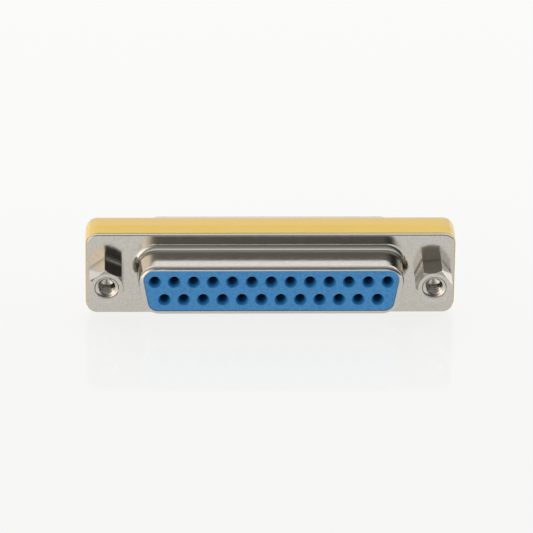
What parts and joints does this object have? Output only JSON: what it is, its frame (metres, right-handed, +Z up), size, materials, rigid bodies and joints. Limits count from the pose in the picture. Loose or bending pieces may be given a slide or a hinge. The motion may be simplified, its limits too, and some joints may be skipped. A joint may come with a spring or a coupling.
{
  "type": "d-sub gender changer",
  "caption": "Slim adapter with a D-shaped socket plug face on each side, joined back to back through a plastic spacer ring, with threaded hex standoffs at both ends.",
  "frame": {"origin": "centre of the footprint: the middle of the spacer ring's long bottom edge, which the part stands on", "axes": "+Z up, X along the long side, the front plug face (wide side of the D up) looks toward -Y, the rear plug face (wide side down) toward +Y"},
  "size_m": [0.053, 0.0158, 0.0128],
  "materials": {
    "nickel_shell": "nickel-plated drawn sheet steel, semi-bright",
    "nickel_hex": "nickel-plated turned steel, bright",
    "yellow_plastic": "moulded, low gloss",
    "blue_plastic": "glass-filled moulding, satin",
    "contact_metal": "plated copper alloy"
  },
  "bodies": {
    "root": {"front_shell": "nickel_shell", "rear_shell": "nickel_shell", "spacer_frame": "yellow_plastic", "front_insulator": "blue_plastic", "rear_insulator": "blue_plastic", "jack_standoff_left": "nickel_hex", "jack_standoff_right": "nickel_hex", "rear_jack_nut_left": "nickel_hex", "rear_jack_nut_right": "nickel_hex", "contact_01": "contact_metal", "contact_02": "contact_metal", "contact_03": "contact_metal", "contact_04": "contact_metal", "contact_05": "contact_metal", "contact_06": "contact_metal", "contact_07": "contact_metal", "contact_08": "contact_metal", "contact_09": "contact_metal", "contact_10": "contact_metal", "contact_11": "contact_metal", "contact_12": "contact_metal", "contact_13": "contact_metal", "contact_14": "contact_metal", "contact_15": "contact_metal", "contact_16": "contact_metal", "contact_17": "contact_metal", "contact_18": "contact_metal", "contact_19": "contact_metal", "contact_20": "contact_metal", "contact_21": "contact_metal", "contact_22": "contact_metal", "contact_23": "contact_metal", "contact_24": "contact_metal", "contact_25": "contact_metal"}
  },
  "joints": []
}
